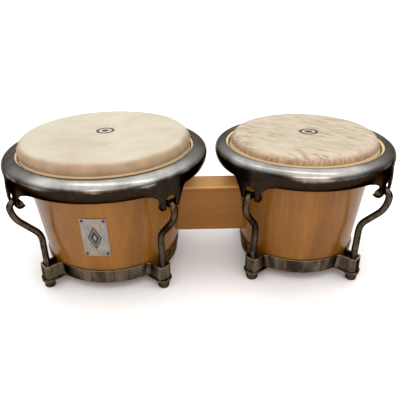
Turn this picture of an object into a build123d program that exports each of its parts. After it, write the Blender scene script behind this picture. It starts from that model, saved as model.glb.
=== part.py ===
from build123d import *

import math
import os

# A pair of bongo drums: a large drum (hembra) and a small drum (macho) joined by a wooden centre block.
# Each drum is a tapered wooden shell under a rawhide head. A curved steel rim pulls the head down
# with hooked tuning rods, which pass through a steel ring round the shell's foot and end in nuts.
# Millimetres, +Z up, +X from the large drum to the small one, origin on the floor at the middle.

# ---- driving dimensions -------------------------------------------------------------------------

# Heights above the floor, which touches the bottoms of the tuning nuts.
LARGE_CROWN_Z = 180.5
SMALL_CROWN_Z = 175.5
RING_TOP_Z = 32.5
RING_BOTTOM_Z = 13.7
SHELL_BOTTOM_Z = 14.0

# Playing heads: 8 1/2 inch and 7 inch, and each shell's outer radius at the top of its ring.
LARGE_HEAD_RADIUS = 8.5 * 25.4 / 2
SMALL_HEAD_RADIUS = 7.0 * 25.4 / 2
LARGE_FOOT_RADIUS = 87.0
SMALL_FOOT_RADIUS = 72.0
RIM_GAP = 10.3

# Shell and head.
SHELL_WALL = 11.0
HEAD_THICKNESS = 1.6
BEARING_RADIUS = 11.0
HOOP_Z = 157.1
HOOP_RADIUS = 3.5
HOOP_INSIDE_RIM = 0.8
SKIN_GAP = 0.15

# Rim: a rolled steel sheet whose section swells outward below the head. Offsets are from the head radius.
RIM_SHEET = 3.0
LARGE_RIM_INNER = 3.6
SMALL_RIM_INNER = 6.9
RIM_INNER_Z = 163.9
RIM_WIDEST = 19.3
RIM_WIDEST_Z = 154.8
RIM_LOWER = 14.2
RIM_LOWER_Z = 141.0
RIM_SPLIT = 30.0

# Ears: four forked hooks under each rim that cradle the cross bars of the tuning rods.
LUG_COUNT = 4
FIRST_LUG_AZIMUTH = 223.0
LARGE_RIM_TWIST = -2.3
SMALL_RIM_TWIST = 4.2
HOOK_OFFSET = 16.0
EAR_OFFSET = 21.3
EAR_KNEE_Z = 139.0
HOOK_Z = 126.0
BAR_RADIUS = 3.2
BAR_LENGTH = 22.0
BAR_REST = 8.2
CURL_TURN = 150.0
EAR_HALF_WIDTH = 13.0
EAR_TIP_HALF_WIDTH = 10.6
EAR_FILLET = 12.0
SLOT_HALF_WIDTH = 6.6
SLOT_TIP_HALF_WIDTH = 5.4
SLOT_CENTRE_Z = 131.5

# Tuning rods and the hardware under each lug.
ROD_RADIUS = 4.0
ROD_TOP_OFFSET = 26.5
ROD_TOP_Z = 128.5
ROD_BOTTOM_Z = 0.8
ROD_SLANT = 42.0
ROD_SLANT_Z = 92.0
ROD_BENDS = [60.0, 24.0, 34.0, 7.0]
ROD_UPRIGHT_Z = 36.0
LUG_FROM_FOOT = 16.5
NUT_TOP_Z = 9.65
NUT_ACROSS_FLATS = 13.0
NUT_BORE_RADIUS = ROD_RADIUS + 0.08
WASHER_RADIUS = 9.0
WASHER_TOP_Z = 11.5
WASHER_BOTTOM_Z = 9.7
ROD_CLEARANCE = 0.4
PLATE_TOP_Z = RING_BOTTOM_Z
PLATE_LIP = 1.5

# Bottom ring: a steel band bent outward into a loop round each rod.
BAND_SHEET = 2.2
BAND_GAP = 0.1
LOOP_HALF_WIDTH = 9.5
LOOP_NOSE = 7.0
LOOP_NOSE_ROUND = 6.5
LOOP_ROOT_ROUND = 5.0

# Centre block and what bolts it on.
BLOCK_DEPTH = 39.2
BLOCK_TOP_Z = 110.75
BLOCK_BOTTOM_Z = 48.1
BLOCK_ROUND = 3.5
BOLT_HEIGHTS = [64.0, 95.0]
BOLT_RADIUS = 4.0
BOLT_HEAD_RADIUS = 7.0
BOLT_HEAD_LENGTH = 5.0
BOLT_CLEARANCE = 0.2
BOLT_BORE_DEPTH = 30.0
BOLT_WASHER_RADIUS = 9.0
BOLT_WASHER_SHEET = 1.6
INSERT_RADIUS = 6.0
INSERT_LENGTH = 18.0
INSERT_SETBACK = 3.0
BACKING_SHEET = 3.0
BACKING_WIDTH = 34.0
BACKING_BOTTOM_Z = 51.0
BACKING_TOP_Z = 108.0

# Name plate on the large drum, left blank, held by four pins.
BADGE_AZIMUTH = -93.5
BADGE_WIDTH = 31.5
BADGE_HEIGHT = 54.0
BADGE_CENTRE_Z = 82.8
BADGE_SHEET = 0.8
BADGE_CORNER = 1.5
PIN_INSET = 3.2
PIN_RADIUS = 1.0
PIN_HEAD_RADIUS = 1.8
PIN_HEAD_HEIGHT = 0.9
PIN_LENGTH = 7.0

FAR = 400.0

# ---- places worked out from them ----------------------------------------------------------------

RIM_OUTER = RIM_WIDEST + RIM_SHEET / 2
AXIS_SPACING = LARGE_HEAD_RADIUS + SMALL_HEAD_RADIUS + 2 * RIM_OUTER + RIM_GAP
EDGE_RADIUS = BEARING_RADIUS - HEAD_THICKNESS - SKIN_GAP
HALF_LENGTH = (AXIS_SPACING + LARGE_HEAD_RADIUS + SMALL_HEAD_RADIUS + 2 * RIM_OUTER) / 2
LARGE_AXIS_X = LARGE_HEAD_RADIUS + RIM_OUTER - HALF_LENGTH
SMALL_AXIS_X = HALF_LENGTH - SMALL_HEAD_RADIUS - RIM_OUTER


class Drum:
    """One drum's own sizes. block_azimuth is the side on which the centre block meets it.
    rim_twist is how far the rim's ears stand turned from the lugs of the bottom ring."""

    def __init__(self, name, crown_z, head_radius, foot_radius, axis_x, block_azimuth, rim_inner, rim_twist):
        self.name = name
        self.crown_z = crown_z
        self.head_radius = head_radius
        self.slope = (head_radius - foot_radius) / (crown_z - RING_TOP_Z)
        self.lug_radius = foot_radius + LUG_FROM_FOOT
        self.axis_x = axis_x
        self.block_azimuth = block_azimuth
        self.rim_inner = rim_inner
        self.rim_twist = rim_twist
        inset = EDGE_RADIUS * math.hypot(1, self.slope) + self.slope * BEARING_RADIUS
        self.bearing_radius = head_radius - inset
        self.hoop_radius = head_radius + rim_inner - HOOP_INSIDE_RIM

    def shell_radius(self, z):
        return self.head_radius - self.slope * (self.crown_z - z)

    def place(self, shape, azimuth=0.0):
        """Turn a shape made on this drum's own +X side to an azimuth, and move it to the drum's axis."""
        return Pos(self.axis_x, 0, 0) * Rot(0, 0, azimuth) * shape

    def lug_azimuths(self):
        return [FIRST_LUG_AZIMUTH + 360.0 / LUG_COUNT * i for i in range(LUG_COUNT)]


LARGE = Drum(
    "hembra",
    LARGE_CROWN_Z,
    LARGE_HEAD_RADIUS,
    LARGE_FOOT_RADIUS,
    LARGE_AXIS_X,
    0.0,
    LARGE_RIM_INNER,
    LARGE_RIM_TWIST,
)
SMALL = Drum(
    "macho",
    SMALL_CROWN_Z,
    SMALL_HEAD_RADIUS,
    SMALL_FOOT_RADIUS,
    SMALL_AXIS_X,
    180.0,
    SMALL_RIM_INNER,
    SMALL_RIM_TWIST,
)


# ---- drawing helpers ----------------------------------------------------------------------------


def section(shape):
    """Stand a sketch of radius and height up in the XZ plane."""
    return Plane.XZ * shape


def turned(shape):
    """Revolve a sketch of radius and height round the drum's axis."""
    return revolve(section(shape), Axis.Z, 360)


def sheet(path, thickness):
    """Thicken a path of radius and height into a sheet's section, with both ends rounded."""
    ends = [path.edges()[0] @ 0, path.edges()[-1] @ 1]
    shape = trace(path, thickness)
    for end in ends:
        if end.X > thickness:
            shape += Pos(end.X, end.Y) * Circle(thickness / 2)
    return shape


def polygon(*points):
    return make_face(Polyline(*points, close=True))


def cone_between(drum, offset, bottom_z, top_z):
    """A solid cone that stands the given distance outside a drum's shell."""
    low = drum.shell_radius(bottom_z) + offset
    high = drum.shell_radius(top_z) + offset
    return turned(polygon((0, bottom_z), (low, bottom_z), (high, top_z), (0, top_z)))


def radial_prism(outline, inner, outer):
    """Stretch an outline of sideways position and height along +X, between two distances from the axis."""
    return extrude(Plane.YZ.offset(inner) * outline, outer - inner)


def along_x(radius, start, length):
    """A round bar along +X from a start distance."""
    bar = Cylinder(radius, length, align=(Align.CENTER, Align.CENTER, Align.MIN))
    return Pos(start, 0, 0) * Rot(0, 90, 0) * bar


# ---- shell, head and hoop -----------------------------------------------------------------------


def edge_point(drum, turn):
    """A point on the shell's rounded bearing edge, the given angle outward from its top."""
    x = drum.bearing_radius + EDGE_RADIUS * math.sin(math.radians(turn))
    z = drum.crown_z - BEARING_RADIUS + EDGE_RADIUS * math.cos(math.radians(turn))
    return x, z


def shell_profile(drum):
    """Section of the wall, whose outside runs smoothly into the rounded bearing edge."""
    turn = 90 + math.degrees(math.atan(drum.slope))
    crest = edge_point(drum, 0)
    shoulder = edge_point(drum, turn)
    foot = (drum.shell_radius(SHELL_BOTTOM_Z), SHELL_BOTTOM_Z)
    inner_foot = (foot[0] - SHELL_WALL, SHELL_BOTTOM_Z)
    inner_top = (drum.shell_radius(crest[1] - 2) - SHELL_WALL, crest[1] - 2)
    wall = Polyline(shoulder, foot, inner_foot, inner_top, crest)
    return make_face(wall + ThreePointArc(crest, edge_point(drum, turn / 2), shoulder))


def bolt_bores():
    """Holes through the shell for the block's bolts."""
    bores = Part()
    for z in BOLT_HEIGHTS:
        bores += Pos(0, 0, z) * along_x(BOLT_RADIUS + BOLT_CLEARANCE, 0, FAR)
    return bores


def shell(drum):
    body = turned(shell_profile(drum)) - Rot(0, 0, drum.block_azimuth) * bolt_bores()
    return drum.place(body)


def head(drum):
    """The skin: a flat playing face, a steep collar down to the flesh hoop and a tuck wrapped round it."""
    middle = HEAD_THICKNESS / 2
    across = drum.hoop_radius - drum.bearing_radius
    down = drum.crown_z - BEARING_RADIUS - HOOP_Z
    clear = BEARING_RADIUS + HOOP_RADIUS + 0.05
    turn = math.degrees(math.asin(clear / math.hypot(across, down)) + math.atan2(down, across))
    length = math.sqrt(across**2 + down**2 - clear**2)
    flat = Line((0, drum.crown_z - middle), (drum.bearing_radius, drum.crown_z - middle))
    bend = JernArc(flat @ 1, (1, 0), BEARING_RADIUS - middle, -turn)
    collar = Line(bend @ 1, (bend @ 1) + (bend % 1) * length)
    hoop_centre = Pos(drum.hoop_radius, HOOP_Z)
    skin = sheet(flat + bend + collar, HEAD_THICKNESS) + hoop_centre * Circle(HOOP_RADIUS + HEAD_THICKNESS)
    return drum.place(turned(skin - hoop_centre * Circle(HOOP_RADIUS)))


def flesh_hoop(drum):
    return drum.place(turned(Pos(drum.hoop_radius, HOOP_Z) * Circle(HOOP_RADIUS)))


# ---- rim ----------------------------------------------------------------------------------------


def rim_path(drum):
    """Middle line of the rim's sheet: two arcs out to its widest point and one arc back under it."""
    start = (drum.head_radius + drum.rim_inner, RIM_INNER_Z)
    width = RIM_WIDEST - drum.rim_inner
    drop = RIM_INNER_Z - RIM_WIDEST_Z
    s = math.sin(math.radians(RIM_SPLIT))
    c = math.cos(math.radians(RIM_SPLIT))
    large = (c * width - (1 - s) * drop) / (s * c - (1 - s) * (1 - c))
    small = (width - s * large) / (1 - s)
    back = RIM_WIDEST - RIM_LOWER
    fall = RIM_WIDEST_Z - RIM_LOWER_Z
    under = (back**2 + fall**2) / (2 * back)
    under_turn = math.degrees(math.asin(fall / under))
    top = JernArc(start, (1, 0), large, -RIM_SPLIT)
    side = JernArc(top @ 1, top % 1, small, RIM_SPLIT - 90)
    lower = JernArc(side @ 1, side % 1, under, -under_turn)
    return top + side + lower


def ear_section(drum):
    """Section through an ear: a sheet that leans out from the widest line and curls in under the bar."""
    widest = drum.head_radius + RIM_WIDEST
    face = drum.head_radius + EAR_OFFSET
    lean = Line((widest, RIM_WIDEST_Z + 1), (face, EAR_KNEE_Z))
    drop = Line(lean @ 1, (face, HOOK_Z))
    hook = JernArc(drop @ 1, (0, -1), EAR_OFFSET - HOOK_OFFSET, -CURL_TURN)
    lower = (drum.head_radius + RIM_LOWER, RIM_LOWER_Z)
    web = polygon((widest, RIM_WIDEST_Z - 1), (face, EAR_KNEE_Z), lower)
    return sheet(lean + drop + hook, RIM_SHEET) + web


def ear_outline():
    """Outline of one ear seen from outside, with hollow fillets up into the rim's lower edge."""
    tip_z = HOOK_Z - (EAR_OFFSET - HOOK_OFFSET) - RIM_SHEET
    lower_z = RIM_LOWER_Z - RIM_SHEET / 2
    flare = EAR_HALF_WIDTH + EAR_FILLET
    half = Polyline((0, tip_z), (EAR_TIP_HALF_WIDTH, tip_z), (EAR_HALF_WIDTH, lower_z - EAR_FILLET))
    round_off = 1 - math.sqrt(0.5)
    middle = (EAR_HALF_WIDTH + EAR_FILLET * round_off, lower_z - EAR_FILLET * round_off)
    half += ThreePointArc((EAR_HALF_WIDTH, lower_z - EAR_FILLET), middle, (flare, lower_z))
    half += Polyline((flare, lower_z), (flare, RIM_WIDEST_Z), (0, RIM_WIDEST_Z), (0, tip_z))
    face = make_face(half)
    return face + mirror(face, Plane.YZ)


def slot_outline():
    """Outline of the slot between an ear's two prongs, open at the bottom and round at the top."""
    low_z = HOOK_Z - 20
    slot = polygon(
        (-SLOT_TIP_HALF_WIDTH, low_z),
        (SLOT_TIP_HALF_WIDTH, low_z),
        (SLOT_HALF_WIDTH, SLOT_CENTRE_Z),
        (-SLOT_HALF_WIDTH, SLOT_CENTRE_Z),
    )
    return slot + Pos(0, SLOT_CENTRE_Z) * Circle(SLOT_HALF_WIDTH)


def rim(drum):
    inner = drum.head_radius
    outer = drum.head_radius + EAR_OFFSET + RIM_SHEET
    ears = turned(ear_section(drum))
    outline = radial_prism(ear_outline(), inner, outer)
    slot = radial_prism(slot_outline(), inner, outer)
    body = turned(sheet(rim_path(drum), RIM_SHEET))
    for azimuth in drum.lug_azimuths():
        body += ears & (Rot(0, 0, azimuth + drum.rim_twist) * outline)
    for azimuth in drum.lug_azimuths():
        body -= Rot(0, 0, azimuth + drum.rim_twist) * slot
    return drum.place(body)


# ---- tuning rods, nuts and washers --------------------------------------------------------------


def tuning_rod(drum):
    """A round rod: upright through the ring, then bent out round the rim and across to its ear,
    where it hooks in to its cross bar."""
    top = drum.head_radius + ROD_TOP_OFFSET
    rise = (top - drum.lug_radius) / math.tan(math.radians(ROD_SLANT)) / 2
    hook_radius = drum.head_radius + HOOK_OFFSET
    bar_radius = math.sqrt(hook_radius**2 - BAR_REST**2)

    def at(radius, z, share):
        """A point the given share of the rim's twist round from the lug."""
        turn = math.radians(drum.rim_twist * share)
        return (radius * math.cos(turn), radius * math.sin(turn), z)

    path = FilletPolyline(
        at(drum.lug_radius, ROD_BOTTOM_Z, 0),
        at(drum.lug_radius, ROD_UPRIGHT_Z, 0),
        at(drum.lug_radius, ROD_SLANT_Z - rise, 0.4),
        at(top, ROD_SLANT_Z + rise, 0.75),
        at(top, ROD_TOP_Z, 1),
        at(bar_radius, HOOK_Z, 1),
        radius=ROD_BENDS,
    )
    rod = sweep(Pos(drum.lug_radius, 0, ROD_BOTTOM_Z) * Circle(ROD_RADIUS), path=path)
    bar = Rot(90, 0, 0) * Cylinder(BAR_RADIUS, BAR_LENGTH)
    bar = fillet(bar.edges().filter_by(GeomType.CIRCLE), 1.0)
    return rod + Rot(0, 0, drum.rim_twist) * Pos(bar_radius, 0, HOOK_Z) * bar


def nut(drum):
    """A tall hexagon nut with a collar on top and a rounded foot, bored right through."""
    hexagon = extrude(RegularPolygon(NUT_ACROSS_FLATS / 2, 6, major_radius=False), NUT_TOP_Z)
    corner = NUT_ACROSS_FLATS / 2 / math.cos(math.radians(30))
    foot = polygon(
        (0, 0),
        (corner - 2.2, 0),
        (corner - 1.2, 0.6),
        (corner - 0.5, 1.6),
        (corner - 0.1, 3.0),
        (corner, 4.2),
        (corner, NUT_TOP_Z),
        (0, NUT_TOP_Z),
    )
    collar = Pos(0, 0, NUT_TOP_Z - 1.8) * Cylinder(8.0, 1.8, align=(Align.CENTER, Align.CENTER, Align.MIN))
    body = (hexagon & turned(foot)) + collar - Cylinder(NUT_BORE_RADIUS, FAR)
    return Pos(drum.lug_radius, 0, 0) * body


def washer(drum):
    ring = Circle(WASHER_RADIUS) - Circle(ROD_RADIUS + ROD_CLEARANCE)
    return Pos(drum.lug_radius, 0, WASHER_BOTTOM_Z) * extrude(ring, WASHER_TOP_Z - WASHER_BOTTOM_Z)


# ---- bottom ring and its lug plates -------------------------------------------------------------


def loop_outline(drum, grow, inner_reach):
    """Plan of one loop round a rod, grown by a margin on its nose and sides."""
    nose = drum.lug_radius + LOOP_NOSE + grow
    half = LOOP_HALF_WIDTH + grow
    outline = Pos((inner_reach + nose) / 2, 0) * Rectangle(nose - inner_reach, 2 * half)
    corners = outline.vertices().group_by(Axis.X)[-1]
    return fillet(corners, LOOP_NOSE_ROUND + grow)


def ring_solid(drum, grow, root_round):
    """The ring's cone with its four upright loops, filled in, with hollow fillets where they meet."""
    offset = BAND_GAP + BAND_SHEET + grow
    body = cone_between(drum, offset, RING_BOTTOM_Z, RING_TOP_Z)
    for azimuth in drum.lug_azimuths():
        outline = loop_outline(drum, grow, drum.lug_radius / 2)
        loop = extrude(outline, RING_TOP_Z - RING_BOTTOM_Z)
        body += Rot(0, 0, azimuth) * Pos(0, 0, RING_BOTTOM_Z) * loop
    roots = []
    for edge in body.edges():
        middle = edge @ 0.5
        from_cone = math.hypot(middle.X, middle.Y) - drum.shell_radius(middle.Z) - offset
        if abs(from_cone) < 0.2 and RING_BOTTOM_Z + 1 < middle.Z < RING_TOP_Z - 1:
            roots.append(edge)
    return fillet(roots, root_round)


def bottom_ring(drum):
    """A band that follows the shell's taper, bent outward into a loop at each lug."""
    outside = ring_solid(drum, 0, LOOP_ROOT_ROUND)
    inside = ring_solid(drum, -BAND_SHEET, LOOP_ROOT_ROUND + BAND_SHEET)
    return drum.place(outside - inside)


def lug_plate(drum):
    """A flat plate that closes the bottom of a loop, with a lip all round and a hole for the rod."""
    inner_reach = drum.shell_radius(RING_BOTTOM_Z) + BAND_GAP
    outline = loop_outline(drum, PLATE_LIP, inner_reach)
    hole = Pos(drum.lug_radius, 0) * Circle(ROD_RADIUS + ROD_CLEARANCE)
    return Pos(0, 0, WASHER_TOP_Z) * extrude(outline - hole, PLATE_TOP_Z - WASHER_TOP_Z)


# ---- centre block and its fastenings ------------------------------------------------------------


def bolt_seat(drum, z):
    """Where a bolt's head rests on its washer, whose rim rests on the hollow backing plate."""
    plate_radius = drum.shell_radius(z - BOLT_WASHER_RADIUS) - SHELL_WALL - BACKING_SHEET - 0.1
    return math.sqrt(plate_radius**2 - BOLT_WASHER_RADIUS**2) - BOLT_WASHER_SHEET


def centre_block():
    length = SMALL_AXIS_X - LARGE_AXIS_X
    height = BLOCK_TOP_Z - BLOCK_BOTTOM_Z
    block = Box(length, BLOCK_DEPTH, height)
    block = fillet(block.edges().filter_by(Axis.X), BLOCK_ROUND)
    block = Pos((LARGE_AXIS_X + SMALL_AXIS_X) / 2, 0, (BLOCK_TOP_Z + BLOCK_BOTTOM_Z) / 2) * block
    for drum in (LARGE, SMALL):
        block -= drum.place(cone_between(drum, 0.05, BLOCK_BOTTOM_Z - 5, BLOCK_TOP_Z + 5))
        for z in BOLT_HEIGHTS:
            mouth = drum.shell_radius(z) - INSERT_SETBACK
            socket = along_x(INSERT_RADIUS, mouth, INSERT_LENGTH + 2 * INSERT_SETBACK)
            bore = along_x(BOLT_RADIUS + BOLT_CLEARANCE, mouth, BOLT_BORE_DEPTH)
            block -= drum.place(Pos(0, 0, z) * (socket + bore), drum.block_azimuth)
    return block


def threaded_inserts():
    """Steel sleeves set in the block's ends, which the bolts screw into."""
    sleeves = []
    for drum in (LARGE, SMALL):
        for z in BOLT_HEIGHTS:
            start = drum.shell_radius(z) + INSERT_SETBACK
            sleeve = along_x(INSERT_RADIUS, start, INSERT_LENGTH) - along_x(BOLT_RADIUS, start - 1, FAR)
            sleeves.append(drum.place(Pos(0, 0, z) * sleeve, drum.block_azimuth))
    return Compound(sleeves)


def block_bolts(drum):
    bolts = []
    for z in BOLT_HEIGHTS:
        seat = bolt_seat(drum, z)
        tip = drum.shell_radius(z) + INSERT_SETBACK + INSERT_LENGTH
        head_shape = RegularPolygon(BOLT_HEAD_RADIUS, 6)
        head_solid = Rot(0, 90, 0) * extrude(head_shape, BOLT_HEAD_LENGTH)
        shank = along_x(BOLT_RADIUS, seat, tip - seat)
        bolt = Pos(seat - BOLT_HEAD_LENGTH, 0, 0) * head_solid + shank
        bolts.append(drum.place(Pos(0, 0, z) * bolt, drum.block_azimuth))
    return Compound(bolts)


def bolt_washers(drum):
    washers = []
    for z in BOLT_HEIGHTS:
        seat = bolt_seat(drum, z)
        hole = along_x(BOLT_RADIUS + BOLT_CLEARANCE, 0, FAR)
        ring = along_x(BOLT_WASHER_RADIUS, seat, BOLT_WASHER_SHEET) - hole
        washers.append(drum.place(Pos(0, 0, z) * ring, drum.block_azimuth))
    return Compound(washers)


def backing_plate(drum):
    """A steel plate curved to the inside of the shell, which spreads the pull of the bolts."""
    low = drum.shell_radius(BACKING_BOTTOM_Z) - SHELL_WALL - 0.05
    high = drum.shell_radius(BACKING_TOP_Z) - SHELL_WALL - 0.05
    strip = polygon(
        (low - BACKING_SHEET, BACKING_BOTTOM_Z),
        (low, BACKING_BOTTOM_Z),
        (high, BACKING_TOP_Z),
        (high - BACKING_SHEET, BACKING_TOP_Z),
    )
    window = Pos(FAR / 2, 0, 0) * Box(FAR, BACKING_WIDTH, FAR)
    plate = (turned(strip) & window) - bolt_bores()
    return drum.place(plate, drum.block_azimuth)


# ---- name plate ---------------------------------------------------------------------------------


def badge_outline():
    plate = Rectangle(BADGE_WIDTH, BADGE_HEIGHT)
    return Pos(0, BADGE_CENTRE_Z) * fillet(plate.vertices(), BADGE_CORNER)


def badge_pin_spots():
    side = BADGE_WIDTH / 2 - PIN_INSET
    rise = BADGE_HEIGHT / 2 - PIN_INSET
    return [(y, BADGE_CENTRE_Z + z) for y in (-side, side) for z in (-rise, rise)]


def pin_at(y, z, radius, inner, outer):
    """A round bar square to the shell's face at a sideways position and height on the +X side."""
    lean = math.degrees(math.atan(LARGE.slope))
    face = math.sqrt(LARGE.shell_radius(z) ** 2 - y**2)
    swing = math.degrees(math.atan2(y, face))
    bar = along_x(radius, inner, outer - inner)
    return Pos(face, y, z) * Rot(0, 0, swing) * Rot(0, lean, 0) * bar


def badge_plate():
    strip_low = BADGE_CENTRE_Z - BADGE_HEIGHT
    strip_high = BADGE_CENTRE_Z + BADGE_HEIGHT
    outer = cone_between(LARGE, BADGE_SHEET + 0.05, strip_low, strip_high)
    inner = cone_between(LARGE, 0.05, strip_low - 1, strip_high + 1)
    window = radial_prism(badge_outline(), 0, FAR)
    plate = (outer - inner) & window
    for y, z in badge_pin_spots():
        plate -= pin_at(y, z, PIN_RADIUS + 0.02, -5, 5)
    return LARGE.place(plate, BADGE_AZIMUTH)


def badge_pins():
    pins = []
    for y, z in badge_pin_spots():
        shank = pin_at(y, z, PIN_RADIUS, -PIN_LENGTH, BADGE_SHEET + 0.3)
        top = pin_at(y, z, PIN_HEAD_RADIUS, BADGE_SHEET + 0.12, BADGE_SHEET + 0.12 + PIN_HEAD_HEIGHT)
        top = fillet(top.edges().filter_by(GeomType.CIRCLE).sort_by(SortBy.DISTANCE)[-1:], 0.4)
        pins.append(LARGE.place(shank + top, BADGE_AZIMUTH))
    return Compound(pins)


def pin_holes():
    holes = Part()
    for y, z in badge_pin_spots():
        holes += pin_at(y, z, PIN_RADIUS, -PIN_LENGTH, 2)
    return LARGE.place(holes, BADGE_AZIMUTH)


# ---- all parts ----------------------------------------------------------------------------------


def lug_parts(drum):
    """The pieces that repeat at each lug, as node names and shapes."""
    parts = {}
    makers = {"tuning_rod": tuning_rod, "nut": nut, "washer": washer, "lug_plate": lug_plate}
    for piece, maker in makers.items():
        shape = maker(drum)
        for number, azimuth in enumerate(drum.lug_azimuths(), start=1):
            parts[f"{drum.name}_{piece}_{number}"] = drum.place(shape, azimuth)
    return parts


def drum_parts(drum):
    parts = {
        f"{drum.name}_shell": shell(drum),
        f"{drum.name}_head": head(drum),
        f"{drum.name}_flesh_hoop": flesh_hoop(drum),
        f"{drum.name}_rim": rim(drum),
        f"{drum.name}_bottom_ring": bottom_ring(drum),
        f"{drum.name}_backing_plate": backing_plate(drum),
        f"{drum.name}_block_bolts": block_bolts(drum),
        f"{drum.name}_bolt_washers": bolt_washers(drum),
    }
    parts.update(lug_parts(drum))
    return parts


def main():
    parts = drum_parts(LARGE)
    parts.update(drum_parts(SMALL))
    parts["hembra_shell"] -= pin_holes()
    parts["centre_block"] = centre_block()
    parts["threaded_inserts"] = threaded_inserts()
    parts["badge_plate"] = badge_plate()
    parts["badge_pins"] = badge_pins()
    os.makedirs("parts", exist_ok=True)
    for name, shape in parts.items():
        export_step(shape, f"parts/{name}.step")


main()
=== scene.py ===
import math

import bmesh
import bpy
from mathutils import Matrix, Vector


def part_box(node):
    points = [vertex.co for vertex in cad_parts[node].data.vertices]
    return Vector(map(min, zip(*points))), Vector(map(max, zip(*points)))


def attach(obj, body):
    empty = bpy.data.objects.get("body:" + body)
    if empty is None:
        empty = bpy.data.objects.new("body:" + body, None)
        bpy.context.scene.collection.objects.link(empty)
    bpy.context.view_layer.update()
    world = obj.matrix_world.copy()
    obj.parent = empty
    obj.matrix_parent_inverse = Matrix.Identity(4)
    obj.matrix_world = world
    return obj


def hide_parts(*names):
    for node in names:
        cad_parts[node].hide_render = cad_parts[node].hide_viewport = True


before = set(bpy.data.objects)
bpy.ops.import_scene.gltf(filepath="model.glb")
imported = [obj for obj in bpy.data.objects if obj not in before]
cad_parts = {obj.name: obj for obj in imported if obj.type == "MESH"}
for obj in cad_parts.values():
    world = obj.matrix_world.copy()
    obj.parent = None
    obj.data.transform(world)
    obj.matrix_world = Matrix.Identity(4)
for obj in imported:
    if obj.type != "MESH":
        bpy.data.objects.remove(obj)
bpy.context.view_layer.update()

# A pair of bongo drums on a plain white floor. Metres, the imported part's own frame.
# The rims and the heads are remade as finer meshes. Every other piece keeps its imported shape.

MM = 0.001

# ---- sizes, in millimetres and degrees -------------------------------------------------------------
# Offsets are outward from a drum's head radius, and drops are down from the small drum's playing face.

RIM_OUTER = 20.8
RIM_BOTTOM_DROP = 56.3
RIM_SHEET = 3.0
RIM_WIDEST = 19.3
RIM_LOWER = 14.2
RIM_INNER_DROP = 11.6
RIM_SPLIT = 30.0
RIM_WIDEST_DROP = 20.7
RIM_LOWER_DROP = 34.5
EAR_OFFSET = 21.3
EAR_KNEE_DROP = 36.5
HOOK_OFFSET = 16.0
HOOK_DROP = 49.5
HOOK_TURN = 150.0
EAR_HALF_WIDTH = 13.0
EAR_TIP_HALF_WIDTH = 10.6
EAR_FLARE = 12.0
EAR_BLEND = 20.0
EAR_TIP_TAPER = 7.0
SLOT_HALF_WIDTH = 6.6
SLOT_TIP_HALF_WIDTH = 5.4
SLOT_CENTRE_DROP = 44.0
SLOT_TIP_DROP = 55.5
PRONG_DROP = 48.0
FAR_FROM_EARS = 999.0
LUG_AZIMUTHS = [223.0, 313.0, 43.0, 133.0]

BEARING_RADIUS = 11.0
HOOP_DROP = 18.4
HOOP_RADIUS = 3.5
HOOP_INSIDE_RIM = 0.8
TUCK_END = 475.0
SKIN_THICKNESS = 1.6
WAVE_DROP = 5.0
WAVE_SPREAD = 4.0

BADGE_AZIMUTH = -93.5
LOZENGE_HALF_WIDTH = 8.5
LOZENGE_HALF_HEIGHT = 16.5
THREAD_PITCH = 1.25
THREAD_TOP_Z = 35.0

# ---- fineness of the remade meshes ----------------------------------------------------------------

CROWN_STEPS = 7
EAR_ROWS = 6
PLAIN_COLUMNS = 12
HEAD_COLUMNS = 240
FACE_RINGS = 14


class Drum:
    """Where one drum stands and how big its head is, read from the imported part, and its own offsets:
    the rim's inner edge, the middle of the rounded bearing edge, and the turn of the rim's ears."""

    def __init__(self, name, rim_inner, bearing_inset, rim_twist):
        low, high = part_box(name + "_rim")
        self.name = name
        self.rim_inner = rim_inner
        self.bearing_inset = bearing_inset
        self.rim_twist = rim_twist
        self.axis_x = (low.x + high.x) / 2
        self.head_radius = (high.x - low.x) / 2 - RIM_OUTER * MM
        self.crown_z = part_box(name + "_head")[1].z
        self.datum_z = low.z + RIM_BOTTOM_DROP * MM
        self.crown_drop = (self.datum_z - self.crown_z) / MM

    def point(self, angle, offset, drop):
        """A point at an angle, an offset in mm from the head's radius and a drop in mm below the datum."""
        radius = self.head_radius + offset * MM
        x = self.axis_x + radius * math.cos(angle)
        return Vector((x, radius * math.sin(angle), self.datum_z - drop * MM))


HEMBRA = Drum("hembra", 3.6, 10.91, -2.3)
MACHO = Drum("macho", 6.9, 10.61, 4.2)
DRUMS = (HEMBRA, MACHO)


# ---- node material helpers ------------------------------------------------------------------------


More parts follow.
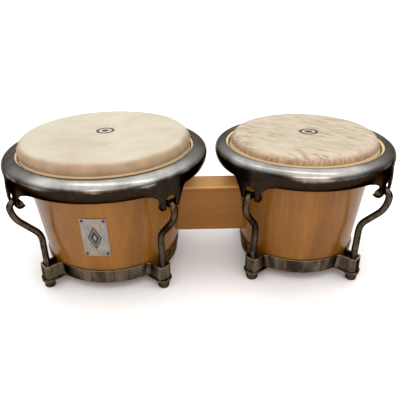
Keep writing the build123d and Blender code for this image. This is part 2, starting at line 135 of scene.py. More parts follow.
class Look:
    """A node material under construction. Each method adds one node and returns its output."""

    def __init__(self, name):
        self.material = bpy.data.materials.new(name)
        self.material.use_nodes = True
        self.tree = self.material.node_tree
        self.shader = self.tree.nodes["Principled BSDF"]
        self.position = self.node("ShaderNodeTexCoord").outputs["Object"]
        self.x, self.y, self.z = self.split(self.position)

    def node(self, kind):
        return self.tree.nodes.new(kind)

    def feed(self, socket, value):
        if isinstance(value, bpy.types.NodeSocket):
            self.tree.links.new(value, socket)
        else:
            socket.default_value = value

    def split(self, vector):
        node = self.node("ShaderNodeSeparateXYZ")
        self.feed(node.inputs[0], vector)
        return node.outputs[0], node.outputs[1], node.outputs[2]

    def join(self, x, y, z):
        node = self.node("ShaderNodeCombineXYZ")
        for socket, value in zip(node.inputs, (x, y, z)):
            self.feed(socket, value)
        return node.outputs[0]

    def math(self, operation, a, b=0.0):
        node = self.node("ShaderNodeMath")
        node.operation = operation
        self.feed(node.inputs[0], a)
        self.feed(node.inputs[1], b)
        return node.outputs[0]

    def noise(self, scale, vector=None, detail=3.0, rough=0.5):
        node = self.node("ShaderNodeTexNoise")
        self.feed(node.inputs["Vector"], self.position if vector is None else vector)
        node.inputs["Scale"].default_value = scale
        node.inputs["Detail"].default_value = detail
        node.inputs["Roughness"].default_value = rough
        return node.outputs["Fac"]

    def stretched(self, scale, x, y, z, detail=3.0, rough=0.5):
        """Noise drawn out along the axes whose factors are small."""
        parts = [self.math("MULTIPLY", p, f) for p, f in zip((self.x, self.y, self.z), (x, y, z))]
        return self.noise(scale, self.join(*parts), detail, rough)

    def steps(self, value):
        """One fixed random number for each whole number."""
        node = self.node("ShaderNodeTexWhiteNoise")
        node.noise_dimensions = "1D"
        self.feed(node.inputs["W"], self.math("FLOOR", value))
        return node.outputs["Value"]

    def fit(self, value, low, high, to_low, to_high, smooth=False):
        node = self.node("ShaderNodeMapRange")
        if smooth:
            node.interpolation_type = "SMOOTHSTEP"
        names = ("Value", "From Min", "From Max", "To Min", "To Max")
        for name, part in zip(names, (value, low, high, to_low, to_high)):
            self.feed(node.inputs[name], part)
        return node.outputs[0]

    def blend(self, factor, a, b, mode="MIX"):
        node = self.node("ShaderNodeMix")
        node.data_type = "RGBA"
        node.blend_type = mode
        self.feed(node.inputs[0], factor)
        for socket, value in ((node.inputs[6], a), (node.inputs[7], b)):
            self.feed(socket, value if isinstance(value, bpy.types.NodeSocket) else (*value, 1.0))
        return node.outputs[2]

    def bump(self, height, distance, strength=1.0, over=None):
        node = self.node("ShaderNodeBump")
        node.inputs["Distance"].default_value = distance
        node.inputs["Strength"].default_value = strength
        self.feed(node.inputs["Height"], height)
        if over is not None:
            self.feed(node.inputs["Normal"], over)
        return node.outputs[0]

    def from_axis(self, drum):
        """(distance from a drum's axis, angle round it)."""
        across = self.math("SUBTRACT", self.x, drum.axis_x)
        return self.length(across, self.y), self.math("ARCTAN2", self.y, across)

    def length(self, a, b):
        squares = self.math("ADD", self.math("MULTIPLY", a, a), self.math("MULTIPLY", b, b))
        return self.math("SQRT", squares)

    def below(self, z):
        """Distance down from a height."""
        return self.math("SUBTRACT", z, self.z)

    def finish(self, colour, roughness, metallic=0.0, normal=None):
        self.feed(self.shader.inputs["Base Color"], colour)
        self.feed(self.shader.inputs["Roughness"], roughness)
        self.shader.inputs["Metallic"].default_value = metallic
        if metallic == 1.0:
            self.shader.inputs["Specular Tint"].default_value = (0.35, 0.32, 0.29, 1.0)
        if normal is not None:
            self.feed(self.shader.inputs["Normal"], normal)
        return self.material


# ---- wood -----------------------------------------------------------------------------------------

WOOD_LIGHT = (0.272, 0.114, 0.0125)
WOOD_DARK = (0.118, 0.041, 0.0024)
# pale tan painted onto the block's top as painted light
WOOD_PAINTED_TOP_LIGHT = (0.90, 0.48, 0.145)
STAVES = 26


def lacquer(look, weight):
    look.shader.inputs["Specular IOR Level"].default_value = 0.12
    look.shader.inputs["Coat Weight"].default_value = weight
    look.shader.inputs["Coat Roughness"].default_value = 0.05
    look.shader.inputs["Coat IOR"].default_value = 1.5


def shell_wood(drum):
    """Upright straight grain that changes a little from stave to stave, under gloss lacquer."""
    look = Look(drum.name + "_shell_wood")
    angle = look.from_axis(drum)[1]
    stave = look.steps(look.math("MULTIPLY", angle, STAVES / (2 * math.pi)))
    broad = look.stretched(34.0, 1.0, 1.0, 0.10, 3.0)
    fine = look.stretched(320.0, 1.0, 1.0, 0.035, 4.0, 0.65)
    cloud = look.noise(9.0, detail=2.0)
    tone = look.math("ADD", look.fit(broad, 0.3, 0.7, 0.0, 0.55), look.fit(fine, 0.3, 0.7, 0.0, 0.30))
    tone = look.math("ADD", tone, look.math("MULTIPLY", stave, 0.22))
    tone = look.math("ADD", tone, look.fit(cloud, 0.3, 0.7, -0.15, 0.10))
    colour = look.blend(tone, WOOD_LIGHT, WOOD_DARK)
    roughness = look.fit(fine, 0.3, 0.7, 0.36, 0.5)
    lacquer(look, 0.30)
    return look.finish(colour, roughness, normal=look.bump(fine, 0.00006, 0.5))


def block_wood():
    """Straight grain along the block, with its top painted paler: a painted highlight where it should look
    lit.
    """
    look = Look("block_wood")
    broad = look.stretched(30.0, 0.10, 1.0, 1.0, 3.0)
    fine = look.stretched(300.0, 0.03, 1.0, 1.0, 4.0, 0.65)
    tone = look.math("ADD", look.fit(broad, 0.3, 0.7, 0.0, 0.5), look.fit(fine, 0.3, 0.7, 0.0, 0.35))
    colour = look.blend(tone, WOOD_LIGHT, WOOD_DARK)
    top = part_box("centre_block")[1].z
    # painted light: the block's top is painted paler to look lit, not worn
    wear_and_painted_light = look.fit(look.z, top - 0.0030, top - 0.0005, 0.0, 0.9, True)
    colour = look.blend(wear_and_painted_light, colour, WOOD_PAINTED_TOP_LIGHT)
    lacquer(look, 0.2)
    return look.finish(colour, 0.42, normal=look.bump(fine, 0.00008, 0.6))


# ---- skins ----------------------------------------------------------------------------------------

INK = (0.012, 0.012, 0.012)
MARK_RADIUS = 10.0 * MM


def skin_mark(look, colour, centre):
    """A plain printed ring with a dot in it."""
    across = look.math("SUBTRACT", look.x, centre[0])
    along = look.math("SUBTRACT", look.y, centre[1])
    distance = look.length(across, along)
    from_ring = look.math("ABSOLUTE", look.math("SUBTRACT", distance, MARK_RADIUS))
    ring = look.fit(from_ring, MARK_RADIUS * 0.15, MARK_RADIUS * 0.21, 1.0, 0.0)
    dot = look.fit(distance, MARK_RADIUS * 0.42, MARK_RADIUS * 0.50, 1.0, 0.0)
    ink = look.math("MULTIPLY", look.math("MAXIMUM", ring, dot), 0.95)
    return look.blend(ink, colour, INK)


def pale_edge_and_painted_light(look, drum, colour, start, amount, tint):
    """Brighten the foot of the collar, from a drop in mm below the datum, where it goes under the rim: the
    hide's pale trimmed edge, painted brighter still as painted light in the shade under the rim.
    """
    edge = look.fit(look.below(drum.datum_z), start * MM, (start + 0.8) * MM, 0.0, amount, True)
    return look.blend(edge, colour, tint)


def hembra_skin(drum):
    """Pale smooth hide, darker and mottled down the collar, and bright where it goes under the rim: its pale
    trimmed edge, brightened further as painted light.
    """
    look = Look("hembra_skin")
    mottle = look.noise(55.0, detail=5.0, rough=0.6)
    cloud = look.noise(13.0, detail=3.0)
    fibre = look.noise(900.0, detail=3.0)
    face = look.blend(look.fit(cloud, 0.35, 0.65, 0.0, 1.0), (0.474, 0.429, 0.333), (0.414, 0.363, 0.270))
    face = look.blend(look.fit(mottle, 0.45, 0.75, 0.0, 0.45), face, (0.370, 0.318, 0.229))
    collar = look.blend(look.fit(mottle, 0.35, 0.65, 0.0, 1.0), (0.330, 0.232, 0.138), (0.252, 0.172, 0.098))
    wander = look.math("ADD", look.below(drum.crown_z), look.fit(cloud, 0.3, 0.7, -0.0012, 0.0012))
    colour = look.blend(look.fit(wander, 0.0, 0.0050, 0.0, 1.0, True), face, collar)
    # pale trimmed edge, brightened as painted light in the shade under the rim
    colour = pale_edge_and_painted_light(look, drum, colour, 9.4, 1.0, (0.74, 0.58, 0.35))
    colour = skin_mark(look, colour, (drum.axis_x + 0.0005, 0.007))
    bump = look.bump(mottle, 0.0004, 0.5)
    bump = look.bump(fibre, 0.0001, 0.5, bump)
    return look.finish(colour, look.fit(mottle, 0.3, 0.7, 0.5, 0.68), normal=bump)


def macho_skin(drum):
    """Hide with slanting wrinkles over its face, darkened in their creases by the hide's own colour and by
    painted shade, and brown hair streaks down the collar.
    """
    look = Look("macho_skin")
    radius, angle = look.from_axis(drum)
    along = look.math("SUBTRACT", look.math("MULTIPLY", look.x, 0.77), look.math("MULTIPLY", look.y, 0.64))
    across = look.math("ADD", look.math("MULTIPLY", look.y, 0.77), look.math("MULTIPLY", look.x, 0.64))
    slanted = look.join(look.math("MULTIPLY", along, 0.16), across, look.z)
    wrinkle = look.noise(300.0, slanted, 4.0, 0.62)
    mottle = look.noise(70.0, detail=4.0, rough=0.6)
    cloud = look.noise(16.0, detail=3.0)
    rays = look.join(look.math("MULTIPLY", angle, 0.09), look.math("MULTIPLY", radius, 0.35), 0.0)
    streak = look.noise(560.0, rays, 5.0, 0.7)
    creases = look.fit(wrinkle, 0.47, 0.60, 0.0, 1.0)
    # the creases are darkened partly as the hide's own lines and partly as painted shade
    creases_and_painted_shade = look.math("MULTIPLY", creases, look.fit(cloud, 0.40, 0.58, 0.30, 1.0))
    face = look.blend(creases_and_painted_shade, (0.440, 0.376, 0.280), (0.262, 0.184, 0.112))
    face = look.blend(look.fit(mottle, 0.45, 0.70, 0.0, 0.45), face, (0.330, 0.255, 0.172))
    collar = look.blend(look.fit(streak, 0.38, 0.64, 0.0, 1.0), (0.420, 0.282, 0.160), (0.190, 0.102, 0.048))
    ragged = look.math("ADD", look.below(drum.crown_z), look.fit(streak, 0.3, 0.7, -0.0016, 0.0016))
    colour = look.blend(look.fit(ragged, 0.0026, 0.0078, 0.0, 1.0, True), face, collar)
    # pale trimmed edge, brightened as painted light in the shade under the rim
    colour = pale_edge_and_painted_light(look, drum, colour, 10.6, 0.95, (0.70, 0.53, 0.30))
    colour = skin_mark(look, colour, (drum.axis_x + 0.006, -0.001))
    bump = look.bump(wrinkle, 0.0005, 0.8)
    bump = look.bump(mottle, 0.0005, 0.5, bump)
    return look.finish(colour, look.fit(wrinkle, 0.3, 0.7, 0.48, 0.66), normal=bump)


# ---- metals ---------------------------------------------------------------------------------------


def aged_metal(name, dark, light, rough_low, rough_high, scale=60.0):
    """Plated metal gone dull in patches, with fine rubbing marks."""
    look = Look(name)
    patch = look.noise(scale, detail=4.0, rough=0.6)
    rubbed = look.noise(500.0, rough=0.6)
    wear_and_painted_light = look.math("ADD", look.fit(patch, 0.35, 0.68, 0.0, 0.75), look.fit(rubbed, 0.35, 0.7, 0.0, 0.25))
    colour = look.blend(wear_and_painted_light, dark, light)
    haze = look.fit(patch, 0.3, 0.7, rough_high, rough_low)
    haze = look.math("ADD", haze, look.fit(rubbed, 0.3, 0.7, -0.03, 0.05))
    return look.finish(colour, haze, 1.0, look.bump(rubbed, 0.00003, 0.6))


def rim_metal(drum):
    """Dark polished plating, hazy in cloudy patches, with a painted dark brown reflection low on the rim and
    a painted highlight along its lip.
    """
    look = Look(drum.name + "_rim_metal")
    radius, angle = look.from_axis(drum)
    cloud = look.noise(26.0, detail=4.0, rough=0.55)
    around = look.join(look.math("MULTIPLY", angle, 0.5), look.math("MULTIPLY", look.z, 22.0), 0.0)
    rubbed = look.noise(30.0, around, 5.0, 0.65)
    speck = look.noise(700.0, detail=2.0)
    drop = look.below(drum.datum_z)
    cool = look.blend(look.fit(cloud, 0.35, 0.65, 0.0, 1.0), (0.36, 0.345, 0.325), (0.20, 0.19, 0.178))
    # painted reflection: dark brown painted low on the rim, where its underside would reflect a dark room
    brown = look.blend(look.fit(rubbed, 0.35, 0.65, 0.0, 1.0), (0.026, 0.018, 0.012), (0.012, 0.008, 0.005))
    low = look.math("ADD", drop, look.fit(cloud, 0.3, 0.7, -0.003, 0.003))
    colour = look.blend(look.fit(low, 0.015, 0.0215, 0.0, 1.0, True), cool, brown)
    # painted highlight: a thin paler line painted along the rim's bottom lip
    from_lip = look.math("ABSOLUTE", look.math("SUBTRACT", drop, (RIM_LOWER_DROP + 0.5) * MM))
    painted_lip_highlight = look.fit(from_lip, 0.0004, 0.0016, 1.0, 0.0)
    reach = drum.head_radius + (RIM_LOWER + RIM_SHEET / 2) * MM
    painted_lip_highlight = look.math("MULTIPLY", painted_lip_highlight, look.fit(radius, reach, reach + 0.0015, 1.0, 0.0))
    colour = look.blend(painted_lip_highlight, colour, (0.20, 0.175, 0.15))
    haze = look.math("ADD", look.fit(cloud, 0.3, 0.7, 0.13, 0.25), look.fit(rubbed, 0.3, 0.7, -0.03, 0.06))
    bump = look.bump(speck, 0.00002, 0.4)
    bump = look.bump(cloud, 0.0002, 0.25, bump)
    return look.finish(colour, haze, 1.0, bump)


def ring_metal():
    """Dark plating on the rings and lug plates, streaked upright and paler in a thin band along the rings'
    top edge.
    """
    look = Look("ring_metal")
    streak = look.stretched(75.0, 1.0, 1.0, 0.12, 4.0, 0.7)
    patch = look.noise(60.0, detail=4.0, rough=0.6)
    fine = look.stretched(700.0, 1.0, 1.0, 0.06, 3.0, 0.6)
    wear_and_painted_light = look.math("ADD", look.fit(streak, 0.40, 0.66, 0.0, 0.8), look.fit(patch, 0.45, 0.7, 0.0, 0.35))
    colour = look.blend(wear_and_painted_light, (0.036, 0.027, 0.018), (0.19, 0.148, 0.100))
    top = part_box("hembra_bottom_ring")[1].z
    edge = look.fit(look.z, top - 0.0009, top - 0.0003, 0.0, 0.7)
    colour = look.blend(edge, colour, (0.42, 0.37, 0.29))
    haze = look.math("ADD", look.fit(streak, 0.3, 0.7, 0.20, 0.34), look.fit(fine, 0.3, 0.7, -0.03, 0.05))
    return look.finish(colour, haze, 1.0, look.bump(fine, 0.00003, 0.6))


def badge_metal():
    """Brushed pale metal with an engraved dark lozenge inside a thin border."""
    look = Look("badge_metal")
    low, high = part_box("badge_plate")
    turn = math.radians(BADGE_AZIMUTH)
    across = look.math("SUBTRACT", look.x, HEMBRA.axis_x)
    side = look.math("SUBTRACT", look.math("MULTIPLY", look.y, math.cos(turn)),
                     look.math("MULTIPLY", across, math.sin(turn)))
    side = look.math("ABSOLUTE", side)
    rise = look.math("ABSOLUTE", look.math("SUBTRACT", look.z, (low.z + high.z) / 2))
    side = look.math("DIVIDE", side, LOZENGE_HALF_WIDTH * MM)
    lozenge = look.math("ADD", side, look.math("DIVIDE", rise, LOZENGE_HALF_HEIGHT * MM))
    outer = look.fit(lozenge, 0.97, 1.03, 1.0, 0.0)
    gap = look.fit(look.math("ABSOLUTE", look.math("SUBTRACT", lozenge, 0.72)), 0.04, 0.07, 0.0, 1.0)
    heart = look.fit(lozenge, 0.22, 0.27, 0.0, 1.0)
    ink = look.math("MULTIPLY", look.math("MULTIPLY", outer, gap), heart)
    brushed = look.stretched(900.0, 1.0, 1.0, 0.02, 3.0, 0.6)
    stain = look.noise(90.0, detail=4.0)
    metal = look.blend(look.fit(brushed, 0.35, 0.65, 0.0, 1.0), (0.30, 0.275, 0.245), (0.21, 0.19, 0.165))
    metal = look.blend(look.fit(stain, 0.45, 0.7, 0.0, 0.5), metal, (0.17, 0.15, 0.125))
    colour = look.blend(look.math("MULTIPLY", ink, 0.92), metal, (0.03, 0.027, 0.025))
    roughness = look.fit(brushed, 0.3, 0.7, 0.42, 0.55)
    return look.finish(colour, roughness, 0.75, look.bump(brushed, 0.00003, 0.5))


def rod_metal():
    """Dark bronze plating on the rods, with the thread at their lower ends."""
    look = Look("rod_metal")
    patch = look.noise(80.0, detail=4.0, rough=0.6)
    scuff = look.stretched(400.0, 1.0, 1.0, 0.08, 3.0, 0.6)
    wear_and_painted_light = look.math("ADD", look.fit(patch, 0.38, 0.68, 0.0, 0.8), look.fit(scuff, 0.4, 0.7, 0.0, 0.3))
    colour = look.blend(wear_and_painted_light, (0.022, 0.016, 0.011), (0.105, 0.080, 0.056))
    thread = look.math("SINE", look.math("MULTIPLY", look.z, 2 * math.pi / (THREAD_PITCH * MM)))
    threaded = look.fit(look.z, (THREAD_TOP_Z - 1) * MM, (THREAD_TOP_Z + 1) * MM, 1.0, 0.0)
    bump = look.bump(look.math("MULTIPLY", thread, threaded), 0.0003, 0.7)
    bump = look.bump(scuff, 0.00006, 0.5, bump)
    return look.finish(colour, look.fit(patch, 0.3, 0.7, 0.30, 0.18), 1.0, bump)


# ---- remade meshes --------------------------------------------------------------------------------


def arc(centre, radius, start, end, count):
    """Points of offset and drop round a centre. Angles are in degrees, 0 outward and 90 upward."""
    points = []
    for i in range(count + 1):
        angle = math.radians(start + (end - start) * i / count)
        points.append((centre[0] + radius * math.cos(angle), centre[1] - radius * math.sin(angle)))
    return points


def add_grid(mesh, rows):
    """Quads between rows of points."""
    verts = [[mesh.verts.new(p) for p in row] for row in rows]
    for upper, lower in zip(verts, verts[1:]):
        for i in range(len(upper) - 1):
            mesh.faces.new((upper[i], upper[i + 1], lower[i + 1], lower[i]))


def weld(mesh):
    bmesh.ops.remove_doubles(mesh, verts=mesh.verts, dist=2e-6)


def add_object(mesh, name, material):
    """Show a bmesh as a smooth object."""
    data = bpy.data.meshes.new(name)
    mesh.to_mesh(data)
    mesh.free()
    data.polygons.foreach_set("use_smooth", [True] * len(data.polygons))
    data.materials.append(material)
    shown = bpy.data.objects.new(name, data)
    bpy.context.scene.collection.objects.link(shown)
    return shown


def modify(shown, kind, **settings):
    modifier = shown.modifiers.new(kind.lower(), kind)
    for key, value in settings.items():
        setattr(modifier, key, value)


def ease(value):
    value = min(max(value, 0.0), 1.0)
    return value * value * (3 - 2 * value)


def lerp(a, b, t):
    return a + (b - a) * t


def rim_crown(drum):
    """Offset and drop down the rim's sheet from its inner edge to its widest line, in two arcs."""
    width = RIM_WIDEST - drum.rim_inner
    fall = RIM_WIDEST_DROP - RIM_INNER_DROP
    s = math.sin(math.radians(RIM_SPLIT))
    c = math.cos(math.radians(RIM_SPLIT))
    large = (c * width - (1 - s) * fall) / (s * c - (1 - s) * (1 - c))
    small = (width - s * large) / (1 - s)
    top = arc((drum.rim_inner, RIM_INNER_DROP + large), large, 90, 90 - RIM_SPLIT, CROWN_STEPS)
    side = arc((RIM_WIDEST - small, RIM_WIDEST_DROP), small, 90 - RIM_SPLIT, 0, CROWN_STEPS)
    return top + side[1:]


def rim_offset(drop, ear):
    """Offset of the sheet below the widest line, where ear is 0 between the ears and 1 on one."""
    back = RIM_WIDEST - RIM_LOWER
    fall = RIM_LOWER_DROP - RIM_WIDEST_DROP
    under = (back**2 + fall**2) / (2 * back)
    down = min(drop - RIM_WIDEST_DROP, fall)
    rolled = RIM_WIDEST - under + math.sqrt(under**2 - down**2)
    lean = ease((drop - RIM_WIDEST_DROP) / (EAR_KNEE_DROP - RIM_WIDEST_DROP))
    return lerp(rolled, lerp(RIM_WIDEST, EAR_OFFSET, lean), ear)


def ear_side(u, drop):
    """Sideways place on an ear: u is 0 at the slot, 1 at the ear's side and 2 at the end of its flare."""
    low = ease((drop - SLOT_CENTRE_DROP) / (SLOT_TIP_DROP - SLOT_CENTRE_DROP))
    slot = lerp(SLOT_HALF_WIDTH, SLOT_TIP_HALF_WIDTH, low)
    edge = lerp(EAR_HALF_WIDTH, EAR_TIP_HALF_WIDTH, ease((drop - PRONG_DROP) / EAR_TIP_TAPER))
    if u > 1:
        return edge + (u - 1) * EAR_FLARE
    return lerp(slot, edge, u)


def upper_edge(side):
    """Drop at which the upper part of the sheet ends, at a sideways place on an ear."""
    if side <= SLOT_HALF_WIDTH:
        return SLOT_CENTRE_DROP - math.sqrt(max(SLOT_HALF_WIDTH**2 - side**2, 0.0))
    reach = (side - SLOT_HALF_WIDTH) / (EAR_HALF_WIDTH + EAR_FLARE - SLOT_HALF_WIDTH)
    return lerp(SLOT_CENTRE_DROP, RIM_LOWER_DROP, ease(min(reach * 1.4, 1.0)))


def flare_edge(side):
    """Drop at which the flare beside a prong ends."""
    if side <= EAR_HALF_WIDTH:
        return PRONG_DROP
    left = (EAR_HALF_WIDTH + EAR_FLARE - side) / EAR_FLARE
    return PRONG_DROP - (PRONG_DROP - RIM_LOWER_DROP) * math.sqrt(max(1 - left**2, 0.0))


def ear_weight(side):
    return 1 - ease((abs(side) - EAR_HALF_WIDTH) / EAR_BLEND)


def rim_mesh(drum, material):
    """A rolled sheet rim whose four forked ears grow smoothly out of it."""
    mesh = bmesh.new()
    reference = drum.head_radius / MM + RIM_WIDEST
    crown = rim_crown(drum)
    slot_places = [SLOT_HALF_WIDTH * math.sin(math.radians(a)) for a in range(0, 91, 15)]
    flare_u = [i / 3 for i in range(4)] + [1 + i / 8 for i in range(1, 9)]
    beyond = [EAR_HALF_WIDTH + EAR_FLARE + 3 * i for i in range(1, 4)]
    half = slot_places + [ear_side(u, SLOT_CENTRE_DROP) for u in flare_u[1:]] + beyond
    places = [-s for s in reversed(half[1:])] + half
    for azimuth in LUG_AZIMUTHS:
        middle = math.radians(azimuth + drum.rim_twist)
        columns = [(middle + math.asin(s / reference), abs(s)) for s in places]
        first, last = columns[0][0], columns[-1][0]
        step = (math.radians(90.0) - (last - first)) / PLAIN_COLUMNS
        columns += [(last + step * i, FAR_FROM_EARS) for i in range(1, PLAIN_COLUMNS)]
        columns.append((first + math.radians(90.0), abs(places[0])))
        rows = [[drum.point(angle, *place) for angle, side in columns] for place in crown]
        for row in range(1, EAR_ROWS + 1):
            line = []
            for angle, side in columns:
                drop = lerp(RIM_WIDEST_DROP, upper_edge(side), row / EAR_ROWS)
                line.append(drum.point(angle, rim_offset(drop, ear_weight(side)), drop))
            rows.append(line)
        add_grid(mesh, rows)
        for hand in (-1, 1):
            add_prong(mesh, drum, middle, hand, reference, flare_u)
    weld(mesh)
    bmesh.ops.recalc_face_normals(mesh, faces=mesh.faces)
    shown = add_object(mesh, drum.name + "_rim_sheet", material)
    modify(shown, "SOLIDIFY", thickness=RIM_SHEET * MM, offset=0.0)
    modify(shown, "SUBSURF", levels=2, render_levels=2)
    return shown


def add_prong(mesh, drum, middle, hand, reference, flare_u):
    """One prong of an ear: its root with the flare beside it, then its straight part and its hook."""
    root = []
    for row in range(EAR_ROWS + 1):
        line = []
        for u in flare_u:
            start = ear_side(u, SLOT_CENTRE_DROP)
            drop = lerp(upper_edge(start), flare_edge(start), row / EAR_ROWS)
            side = ear_side(u, drop)
            offset = rim_offset(drop, ear_weight(side))
            line.append(drum.point(middle + hand * math.asin(side / reference), offset, drop))
        root.append(line)
    add_grid(mesh, root)
    curl = arc((HOOK_OFFSET, HOOK_DROP), EAR_OFFSET - HOOK_OFFSET, 0, -HOOK_TURN, 9)
    prong = []
    for offset, drop in [(EAR_OFFSET, PRONG_DROP)] + curl:
        tip = max(drop, PRONG_DROP)
        line = []
        for u in flare_u[:4]:
            side = ear_side(u, tip)
            line.append(drum.point(middle + hand * math.asin(side / reference), offset, drop))
        prong.append(line)
    add_grid(mesh, prong)


def head_profile(drum):
    """Offset and drop of the skin's outside: bearing edge, steep collar and tuck round the hoop."""
    hoop = (drum.rim_inner - HOOP_INSIDE_RIM, HOOP_DROP)
    bearing_drop = drum.crown_drop + BEARING_RADIUS
    across = hoop[0] + drum.bearing_inset
    down = HOOP_DROP - bearing_drop
    clear = BEARING_RADIUS + HOOP_RADIUS
    turn = math.degrees(math.asin(clear / math.hypot(across, down)) + math.atan2(down, across))
    bearing = arc((-drum.bearing_inset, bearing_drop), BEARING_RADIUS, 90, 90 - turn, 14)
    tuck = arc(hoop, HOOP_RADIUS, 270 - turn, TUCK_END, 24)
    start, end = bearing[-1], tuck[0]
    collar = [(lerp(start[0], end[0], i / 6), lerp(start[1], end[1], i / 6)) for i in range(1, 6)]
    return bearing + collar + tuck


def head_mesh(drum, material, waves, depth):
    """The skin as one sheet: a flat face that sags a hair between broad waves, collar and tuck."""
    mesh = bmesh.new()
    angles = [2 * math.pi * i / HEAD_COLUMNS for i in range(HEAD_COLUMNS + 1)]
    to_axis = drum.head_radius / MM
    flat = to_axis - drum.bearing_inset
    rings = [(flat * i / FACE_RINGS - to_axis, drum.crown_drop) for i in range(1, FACE_RINGS)]
    rows = []
    for offset, drop in rings + head_profile(drum):
        line = []
        near = math.exp(-((drop - drum.crown_drop - WAVE_DROP) / WAVE_SPREAD) ** 2)
        for angle in angles:
            wave = sum(math.sin(k * angle + p) for k, p in waves) / len(waves)
            dip = depth * near * (wave - 1.0) * 0.5
            line.append(drum.point(angle, offset + dip, drop - dip * 0.6))
        rows.append(line)
    add_grid(mesh, rows)
    centre = mesh.verts.new(drum.point(0.0, -to_axis, drum.crown_drop))
    mesh.verts.ensure_lookup_table()
    for i in range(HEAD_COLUMNS):
        mesh.faces.new((centre, mesh.verts[i + 1], mesh.verts[i]))
    weld(mesh)
    shown = add_object(mesh, drum.name + "_skin_sheet", material)
    modify(shown, "SOLIDIFY", thickness=SKIN_THICKNESS * MM, offset=1.0)
    modify(shown, "SUBSURF", levels=1, render_levels=1)
    return shown


# ---- stage ----------------------------------------------------------------------------------------

CAMERA_YAW = -1.76
CAMERA_PITCH = 26.01
CAMERA_ROLL = -1.91
CAMERA_PLACE = (-0.0114, -0.5656, 0.3600)
CAMERA_LENS = 42.3
CAMERA_SHIFT = 0.0625

# For each light: name, place, aim, width and height, watts, colour.
LIGHTS = (
    ("ceiling", (0.05, 0.10, 1.5), (0, 0, 0), (1.6, 0.30), 4.0, (1.0, 1.0, 0.99)),
    ("front", (0.1, -1.8, 1.2), (0, 0, 0.05), (1.6, 0.42), 7.5, (1.0, 0.99, 0.97)),
    ("glow", (0.05, -1.6, 0.42), (0, 0, 0.15), (1.3, 0.45), 3.6, (1.0, 0.42, 0.20)),
)

# Brightness of the sky from straight down, 0, to straight up, 1.
SKY_STOPS = ((0.0, 0.20), (0.30, 0.26), (0.55, 0.46), (0.70, 1.0), (1.0, 1.0))
SKY_WARMTH = (1.1, 0.98, 0.90, 1.0)
SKY_STRENGTH = 2.0


def camera():
    yaw = math.radians(CAMERA_YAW)
    pitch = math.radians(CAMERA_PITCH)
    roll = math.radians(CAMERA_ROLL)
    ahead = Vector((math.sin(yaw) * math.cos(pitch), math.cos(yaw) * math.cos(pitch), -math.sin(pitch)))
    level = Vector((math.cos(yaw), -math.sin(yaw), 0))
    upright = level.cross(ahead)
    right = math.cos(roll) * level + math.sin(roll) * upright
    top = math.cos(roll) * upright - math.sin(roll) * level
    place = Matrix((right, top, -ahead)).transposed().to_4x4()
    place.translation = Vector(CAMERA_PLACE)
    data = bpy.data.cameras.new("camera")
    shown = bpy.data.objects.new("camera", data)
    bpy.context.scene.collection.objects.link(shown)
    shown.matrix_world = place
    data.sensor_width = 36.0
    data.lens = CAMERA_LENS
    data.shift_x = CAMERA_SHIFT
    data.clip_start = 0.01
    data.clip_end = 200.0
    bpy.context.scene.camera = shown


def area_light(name, place, aim, size, power, colour):
    data = bpy.data.lights.new(name, "AREA")
    data.shape = "RECTANGLE"
    data.size = size[0]
    data.size_y = size[1]
    data.energy = power
    data.color = colour
    shown = bpy.data.objects.new(name, data)
    bpy.context.scene.collection.objects.link(shown)
    shown.location = place
    shown.rotation_euler = (Vector(aim) - Vector(place)).to_track_quat("-Z", "Y").to_euler()


def sky_range(tree, source, start, end):
    """A smooth rise from 0 where the source is start to 1 where it is end."""
    node = tree.nodes.new("ShaderNodeMapRange")
    node.interpolation_type = "SMOOTHSTEP"
    for name, value in (("From Min", start), ("From Max", end), ("To Min", 0.0), ("To Max", 1.0)):
        node.inputs[name].default_value = value
    tree.links.new(source, node.inputs["Value"])
    return node.outputs[0]


def sky():
    """Light from a bright ceiling that falls off to a dim horizon, warm low in front."""
    world = bpy.data.worlds.new("sky")
    bpy.context.scene.world = world
    world.use_nodes = True
    tree = world.node_tree
    background = tree.nodes["Background"]
    coordinates = tree.nodes.new("ShaderNodeTexCoord")
    parts = tree.nodes.new("ShaderNodeSeparateXYZ")
    tree.links.new(coordinates.outputs["Generated"], parts.inputs[0])
    ramp = tree.nodes.new("ShaderNodeValToRGB")
    tree.links.new(parts.outputs[2], ramp.inputs[0])
    elements = ramp.color_ramp.elements
    while len(elements) < len(SKY_STOPS):
        elements.new(0.5)
    for element, (place, level) in zip(elements, SKY_STOPS):
        element.position = place
        element.color = (level, level, level, 1.0)
    low_in_front = tree.nodes.new("ShaderNodeMath")
    low_in_front.operation = "MULTIPLY"
    tree.links.new(sky_range(tree, parts.outputs[1], -0.45, -0.80), low_in_front.inputs[0])
    tree.links.new(sky_range(tree, parts.outputs[2], 0.50, 0.35), low_in_front.inputs[1])
    warm = tree.nodes.new("ShaderNodeMix")
    warm.data_type = "RGBA"
    warm.blend_type = "MULTIPLY"
    tree.links.new(low_in_front.outputs[0], warm.inputs[0])
    tree.links.new(ramp.outputs[0], warm.inputs[6])
    warm.inputs[7].default_value = SKY_WARMTH
    tree.links.new(warm.outputs[2], background.inputs[0])
    background.inputs[1].default_value = SKY_STRENGTH


def floor():
    mesh = bmesh.new()
    bmesh.ops.create_grid(mesh, x_segments=1, y_segments=1, size=40.0)
    look = Look("floor_white")
    tone = look.fit(look.noise(3.0, detail=2.0), 0.0, 1.0, 0.92, 0.94)
    shown = add_object(mesh, "floor", look.finish(look.join(tone, tone, tone), 0.9))
    look.shader.inputs["Specular IOR Level"].default_value = 0.1


# ---- the scene ------------------------------------------------------------------------------------


def dress(node, material):
    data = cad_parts[node].data
    data.materials.clear()
    data.materials.append(material)


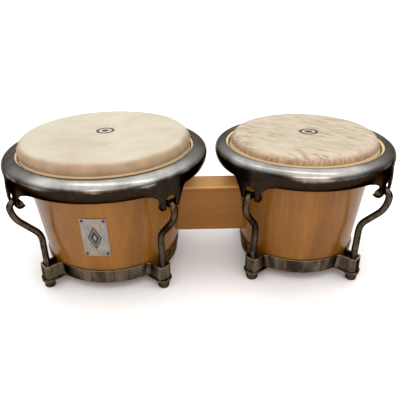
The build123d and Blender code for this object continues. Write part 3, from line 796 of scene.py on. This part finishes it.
def dress_parts():
    """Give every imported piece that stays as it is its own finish."""
    ring = ring_metal()
    nut = aged_metal("nut_metal", (0.028, 0.021, 0.014), (0.10, 0.078, 0.052), 0.26, 0.40, scale=140.0)
    washer = aged_metal("washer_metal", (0.06, 0.048, 0.036), (0.20, 0.165, 0.125), 0.26, 0.42, scale=120.0)
    hoop = aged_metal("hoop_steel", (0.40, 0.39, 0.37), (0.58, 0.57, 0.55), 0.30, 0.42)
    hidden = aged_metal("hidden_steel", (0.38, 0.38, 0.37), (0.56, 0.56, 0.55), 0.30, 0.42)
    pin = aged_metal("pin_metal", (0.05, 0.035, 0.028), (0.12, 0.09, 0.07), 0.30, 0.45, scale=200.0)
    rod = rod_metal()
    for drum in DRUMS:
        dress(drum.name + "_shell", shell_wood(drum))
        dress(drum.name + "_flesh_hoop", hoop)
        dress(drum.name + "_bottom_ring", ring)
        for piece in ("backing_plate", "block_bolts", "bolt_washers"):
            dress(f"{drum.name}_{piece}", hidden)
        for number in range(1, len(LUG_AZIMUTHS) + 1):
            dress(f"{drum.name}_tuning_rod_{number}", rod)
            dress(f"{drum.name}_nut_{number}", nut)
            dress(f"{drum.name}_washer_{number}", washer)
            dress(f"{drum.name}_lug_plate_{number}", ring)
    dress("centre_block", block_wood())
    dress("threaded_inserts", hidden)
    dress("badge_plate", badge_metal())
    dress("badge_pins", pin)


def remake_parts():
    """Stand finer meshes in for the rims and the heads."""
    skins = {"hembra": hembra_skin(HEMBRA), "macho": macho_skin(MACHO)}
    waves = {"hembra": ((3, 0.4), (7, 1.9), (16, 0.7)), "macho": ((5, 1.1), (13, 0.2), (31, 2.6))}
    depths = {"hembra": 0.35, "macho": 0.6}
    for drum in DRUMS:
        metal = rim_metal(drum)
        dress(drum.name + "_rim", metal)
        dress(drum.name + "_head", skins[drum.name])
        rim = rim_mesh(drum, metal)
        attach(rim, drum.name + "_rim_and_rods")
        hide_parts(drum.name + "_rim")
        skin = head_mesh(drum, skins[drum.name], waves[drum.name], depths[drum.name])
        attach(skin, "drum_frame")
        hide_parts(drum.name + "_head")


bpy.context.scene.view_settings.view_transform = "Standard"
camera()
sky()
for light in LIGHTS:
    area_light(*light)
floor()
dress_parts()
remake_parts()
